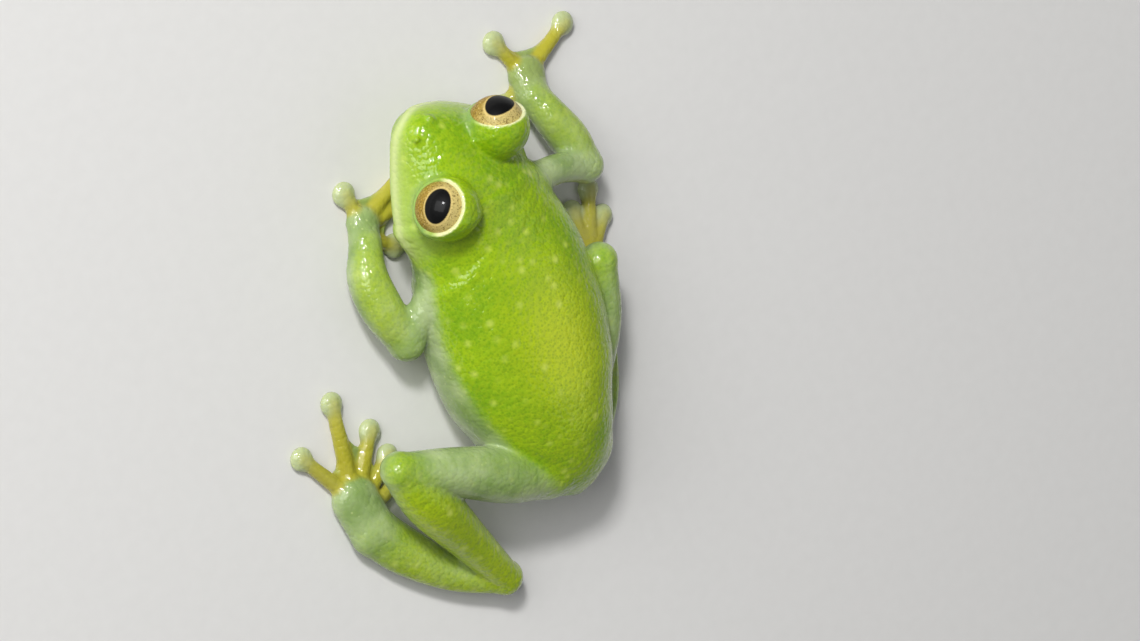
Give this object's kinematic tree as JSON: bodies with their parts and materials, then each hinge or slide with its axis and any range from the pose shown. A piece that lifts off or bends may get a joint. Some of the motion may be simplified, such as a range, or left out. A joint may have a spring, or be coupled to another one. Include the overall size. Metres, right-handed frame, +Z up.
{
  "type": "glass frog",
  "caption": "Life-size still model of a small green glass frog crouching on level ground, head turned a little to its left.",
  "frame": {"origin": "on the ground, under the middle of the bounding box", "axes": "+Z up, the trunk lies along Y with the head towards -Y, and the frog's left side is at +X"},
  "size_m": [0.0262, 0.0294, 0.0082],
  "materials": {
    "back_skin": "moist fine-grained skin, lime green with soft pale yellow spots",
    "limb_skin": "moist fine-grained translucent skin, pale green",
    "digit_skin": "smooth translucent skin, yellow digits with pale pads and webs",
    "eye": "clear wet cornea over a golden iris with a black pupil"
  },
  "bodies": {
    "root": {"head": "back_skin", "trunk": "back_skin", "upper_arm_left": "limb_skin", "forearm_left": "limb_skin", "thigh_left": "limb_skin", "shank_left": "limb_skin", "tarsus_left": "limb_skin", "upper_arm_right": "limb_skin", "forearm_right": "limb_skin", "thigh_right": "limb_skin", "shank_right": "limb_skin", "tarsus_right": "limb_skin", "hand_left": "digit_skin", "foot_left": "digit_skin", "hand_right": "digit_skin", "foot_right": "digit_skin", "eye_left": "eye", "eye_right": "eye"}
  },
  "joints": []
}
